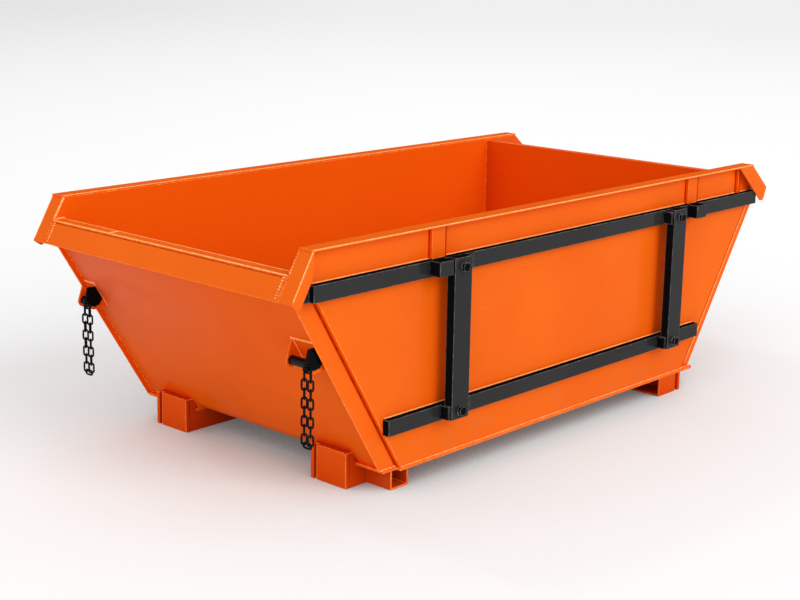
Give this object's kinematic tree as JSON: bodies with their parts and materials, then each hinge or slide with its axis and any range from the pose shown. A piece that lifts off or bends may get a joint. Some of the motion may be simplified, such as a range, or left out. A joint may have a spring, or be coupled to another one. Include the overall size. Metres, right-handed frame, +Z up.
{
  "type": "builders skip",
  "caption": "Small boat-shaped builders skip in painted steel sheet, with rim and ears, side rails and posts, lifting lugs and hanging chains.",
  "frame": {"origin": "on the ground under the centre of the skip's overall length and width", "axes": "+Z up, +X along the skip from the lug end to the bulkhead end, +Y from the near side to the far side"},
  "size_m": [2.486, 1.296, 0.805],
  "materials": {
    "orange_paint": "semi-gloss orange paint",
    "black_paint": "satin black paint",
    "chain_steel": "blackened steel"
  },
  "bodies": {
    "tub": {"bolt_lower_left_far": "black_paint", "bolt_lower_left_near": "black_paint", "bolt_lower_right_far": "black_paint", "bolt_lower_right_near": "black_paint", "bolt_upper_left_far": "black_paint", "bolt_upper_left_near": "black_paint", "bolt_upper_right_far": "black_paint", "bolt_upper_right_near": "black_paint", "bulkhead": "orange_paint", "cross_channel_right": "orange_paint", "cross_tube_far": "orange_paint", "cross_tube_near": "orange_paint", "ear_left_far": "orange_paint", "ear_left_near": "orange_paint", "ear_rib_far": "orange_paint", "ear_rib_near": "orange_paint", "ear_right_far": "orange_paint", "ear_right_near": "orange_paint", "end_band_left": "orange_paint", "end_panel_left": "orange_paint", "end_panel_right": "orange_paint", "end_rim_left": "orange_paint", "end_rim_right": "orange_paint", "floor_plate": "orange_paint", "foot_left_far": "orange_paint", "foot_left_near": "orange_paint", "keeper_plate_far": "black_paint", "keeper_plate_near": "black_paint", "lower_rail_far": "black_paint", "lower_rail_near": "black_paint", "lug_cheek_back_far": "orange_paint", "lug_cheek_back_near": "orange_paint", "lug_cheek_front_far": "orange_paint", "lug_cheek_front_near": "orange_paint", "lug_pin_far": "black_paint", "lug_pin_near": "black_paint", "post_left_far": "black_paint", "post_left_near": "black_paint", "post_right_far": "black_paint", "post_right_near": "black_paint", "side_panel_far": "orange_paint", "side_panel_near": "orange_paint", "side_rim_far": "orange_paint", "side_rim_near": "orange_paint", "side_skin_far": "orange_paint", "side_skin_near": "orange_paint", "stiffener_left_far": "orange_paint", "stiffener_left_near": "orange_paint", "stiffener_right_far": "orange_paint", "stiffener_right_near": "orange_paint", "stop_block_left_far": "black_paint", "stop_block_left_near": "black_paint", "stop_block_right_far": "black_paint", "stop_block_right_near": "black_paint", "upper_rail_far": "black_paint", "upper_rail_near": "black_paint"},
    "chain_near": {"chain_near": "chain_steel"},
    "chain_far": {"chain_far": "chain_steel"}
  },
  "joints": [
    {"name": "chain_near_swing", "type": "hinge", "parent": "tub", "child": "chain_near", "pos_m": [-1.1211, -0.5355, 0.453], "axis": [0, 1, 0], "range_deg": [-10, 60]},
    {"name": "chain_far_swing", "type": "hinge", "parent": "tub", "child": "chain_far", "pos_m": [-1.1211, 0.4915, 0.453], "axis": [0, 1, 0], "range_deg": [-10, 60]}
  ]
}
